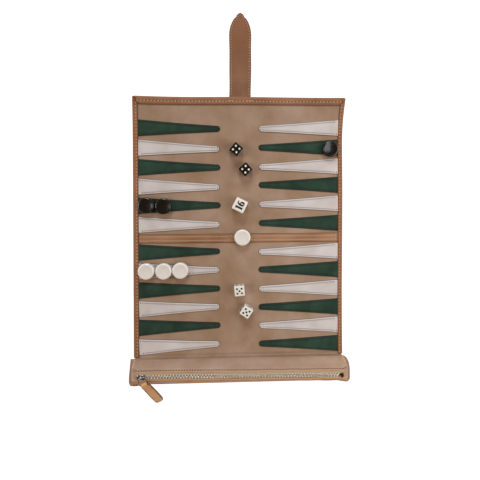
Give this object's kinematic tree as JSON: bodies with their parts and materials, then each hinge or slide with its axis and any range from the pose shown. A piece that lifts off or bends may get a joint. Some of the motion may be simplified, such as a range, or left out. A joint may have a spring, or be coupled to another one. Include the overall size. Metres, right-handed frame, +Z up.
{
  "type": "backgammon set",
  "caption": "Roll-up leather travel backgammon set: suede mat with sewn-on points and bar, closing strap, zip pouch along one edge, with loose checkers, dice and doubling cube.",
  "frame": {"origin": "centre of the mat's flat underside", "axes": "+X to the right across the mat, +Y towards the closing strap, +Z up from the playing surface"},
  "size_m": [0.2668, 0.4694, 0.0289],
  "materials": {
    "suede": "napped tan suede",
    "brown_leather": "smooth brown leather, satin",
    "tan_leather": "soft grained tan leather, satin",
    "tab_leather": "natural vegetable-tanned leather, satin",
    "green_leather": "dark green suede-finish leather",
    "white_leather": "off-white matte leather",
    "zip_tape": "olive-tan woven tape",
    "zip_metal": "polished nickel",
    "dark_metal": "darkened metal",
    "black_resin": "glossy black resin",
    "ivory_resin": "glossy ivory resin"
  },
  "bodies": {
    "mat": {"back_panel": "brown_leather", "strap_keeper": "brown_leather", "suede_upper": "suede", "suede_lower": "suede", "bar_strip": "brown_leather", "top_border": "brown_leather", "left_border": "brown_leather", "right_border": "brown_leather", "point_upper_left_1": "green_leather", "point_upper_right_1": "white_leather", "point_upper_left_2": "white_leather", "point_upper_right_2": "green_leather", "point_upper_left_3": "green_leather", "point_upper_right_3": "white_leather", "point_upper_left_4": "white_leather", "point_upper_right_4": "green_leather", "point_upper_left_5": "green_leather", "point_upper_right_5": "white_leather", "point_upper_left_6": "white_leather", "point_upper_right_6": "green_leather", "point_lower_left_1": "green_leather", "point_lower_right_1": "white_leather", "point_lower_left_2": "white_leather", "point_lower_right_2": "green_leather", "point_lower_left_3": "green_leather", "point_lower_right_3": "white_leather", "point_lower_left_4": "white_leather", "point_lower_right_4": "green_leather", "point_lower_left_5": "green_leather", "point_lower_right_5": "white_leather", "point_lower_left_6": "white_leather", "point_lower_right_6": "green_leather"},
    "strap": {"strap_front": "brown_leather", "strap_back": "brown_leather"},
    "pouch": {"pouch_face": "tan_leather", "pouch_base": "tan_leather", "zip_tape_upper": "zip_tape", "zip_tape_lower": "zip_tape", "zip_teeth_upper": "zip_metal", "zip_teeth_lower": "zip_metal", "zip_end_stop": "dark_metal", "stored_black_checkers": "black_resin", "stored_white_checkers": "ivory_resin"},
    "zip_slider": {"zip_slider": "zip_metal"},
    "pull_ring": {"pull_ring": "zip_metal"},
    "pull_tab": {"pull_tab": "tab_leather"},
    "checker_white_1": {"checker_white_1": "ivory_resin"},
    "checker_white_2": {"checker_white_2": "ivory_resin"},
    "checker_white_3": {"checker_white_3": "ivory_resin"},
    "checker_white_4": {"checker_white_4": "ivory_resin"},
    "checker_black_1": {"checker_black_1": "black_resin"},
    "checker_black_2": {"checker_black_2": "black_resin"},
    "checker_black_3": {"checker_black_3": "black_resin"},
    "die_black_1": {"die_black_1": "black_resin"},
    "die_black_2": {"die_black_2": "black_resin"},
    "die_white_1": {"die_white_1": "ivory_resin"},
    "die_white_2": {"die_white_2": "ivory_resin"},
    "doubling_cube": {"doubling_cube": "ivory_resin"}
  },
  "joints": [
    {"name": "pouch_fold", "type": "hinge", "parent": "mat", "child": "pouch", "pos_m": [0, -0.1573, 0.0044], "axis": [-1, 0, 0], "range_deg": [0, 90]},
    {"name": "strap_fold", "type": "hinge", "parent": "mat", "child": "strap", "pos_m": [0.0025, 0.15795, 0.0046], "axis": [1, 0, 0], "range_deg": [0, 120]},
    {"name": "slider_run", "type": "slide", "parent": "pouch", "child": "zip_slider", "axis": [0.9999, -0.0122, 0], "range_m": [0, 0.226]},
    {"name": "ring_swing", "type": "hinge", "parent": "zip_slider", "child": "pull_ring", "pos_m": [-0.1135, -0.1716, 0.02685], "axis": [-0.8988, -0.4384, 0], "range_deg": [0, 90]},
    {"name": "tab_swing", "type": "hinge", "parent": "pull_ring", "child": "pull_tab", "pos_m": [-0.10975, -0.17929, 0.02595], "axis": [-0.8988, -0.4384, 0], "range_deg": [0, 50]},
    {"name": "checker_white_1_lift", "type": "slide", "parent": "mat", "child": "checker_white_1", "axis": [0, 0, 1], "range_m": [0, 0.03]},
    {"name": "checker_white_2_lift", "type": "slide", "parent": "mat", "child": "checker_white_2", "axis": [0, 0, 1], "range_m": [0, 0.03]},
    {"name": "checker_white_3_lift", "type": "slide", "parent": "mat", "child": "checker_white_3", "axis": [0, 0, 1], "range_m": [0, 0.03]},
    {"name": "checker_white_4_lift", "type": "slide", "parent": "mat", "child": "checker_white_4", "axis": [0, 0, 1], "range_m": [0, 0.03]},
    {"name": "checker_black_1_lift", "type": "slide", "parent": "mat", "child": "checker_black_1", "axis": [0, 0, 1], "range_m": [0, 0.03]},
    {"name": "checker_black_2_lift", "type": "slide", "parent": "mat", "child": "checker_black_2", "axis": [0, 0, 1], "range_m": [0, 0.03]},
    {"name": "checker_black_3_lift", "type": "slide", "parent": "mat", "child": "checker_black_3", "axis": [0, 0, 1], "range_m": [0, 0.03]},
    {"name": "die_black_1_lift", "type": "slide", "parent": "mat", "child": "die_black_1", "axis": [0, 0, 1], "range_m": [0, 0.03]},
    {"name": "die_black_2_lift", "type": "slide", "parent": "mat", "child": "die_black_2", "axis": [0, 0, 1], "range_m": [0, 0.03]},
    {"name": "die_white_1_lift", "type": "slide", "parent": "mat", "child": "die_white_1", "axis": [0, 0, 1], "range_m": [0, 0.03]},
    {"name": "die_white_2_lift", "type": "slide", "parent": "mat", "child": "die_white_2", "axis": [0, 0, 1], "range_m": [0, 0.03]},
    {"name": "doubling_cube_lift", "type": "slide", "parent": "mat", "child": "doubling_cube", "axis": [0, 0, 1], "range_m": [0, 0.03]}
  ]
}
